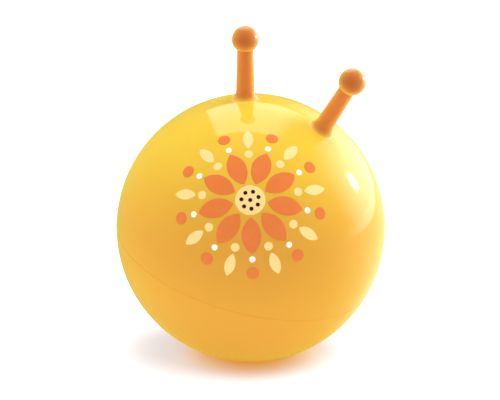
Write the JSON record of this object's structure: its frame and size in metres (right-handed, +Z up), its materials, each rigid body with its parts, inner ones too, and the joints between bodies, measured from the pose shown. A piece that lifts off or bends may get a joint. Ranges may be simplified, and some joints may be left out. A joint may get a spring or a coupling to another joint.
{
  "type": "hopper ball",
  "caption": "Inflated bouncing ball to sit on, with soft knobbed handles that flex on the top, a printed flower on the front and a push-in air plug at the back.",
  "frame": {"origin": "middle of the flat patch that the ball rests on", "axes": "+Z up, -Y the printed front, +X the side that the ball leans to"},
  "size_m": [0.45, 0.4495, 0.5668],
  "materials": {
    "ball_vinyl": "glossy soft vinyl",
    "handle_vinyl": "glossy soft vinyl",
    "plug_plastic": "satin",
    "orange_ink": "screen print",
    "cream_ink": "screen print",
    "white_ink": "screen print",
    "dark_ink": "screen print"
  },
  "bodies": {
    "ball": {"ball_skin": "ball_vinyl", "left_handle_root": "handle_vinyl", "right_handle_root": "handle_vinyl", "valve_seat": "ball_vinyl", "print_orange": "orange_ink", "print_cream": "cream_ink", "print_white": "white_ink", "print_dark": "dark_ink"},
    "left_handle": {"left_handle_grip": "handle_vinyl"},
    "right_handle": {"right_handle_grip": "handle_vinyl"},
    "plug": {"valve_plug": "plug_plastic"}
  },
  "joints": [
    {"name": "left_handle_flex", "type": "hinge", "parent": "ball", "child": "left_handle", "pos_m": [-0.00981, 0, 0.45279], "axis": [1, 0, 0], "range_deg": [-20, 20], "stiffness_Nm_per_rad": 4, "deforming": ["left_handle_root"]},
    {"name": "right_handle_flex", "type": "hinge", "parent": "ball", "child": "right_handle", "pos_m": [0.12831, 0, 0.41448], "axis": [0.8572, 0, -0.515], "range_deg": [-20, 20], "stiffness_Nm_per_rad": 4, "deforming": ["right_handle_root"]},
    {"name": "plug_pull", "type": "slide", "parent": "ball", "child": "plug", "axis": [0, 1, 0], "range_m": [0, 0.03]}
  ]
}
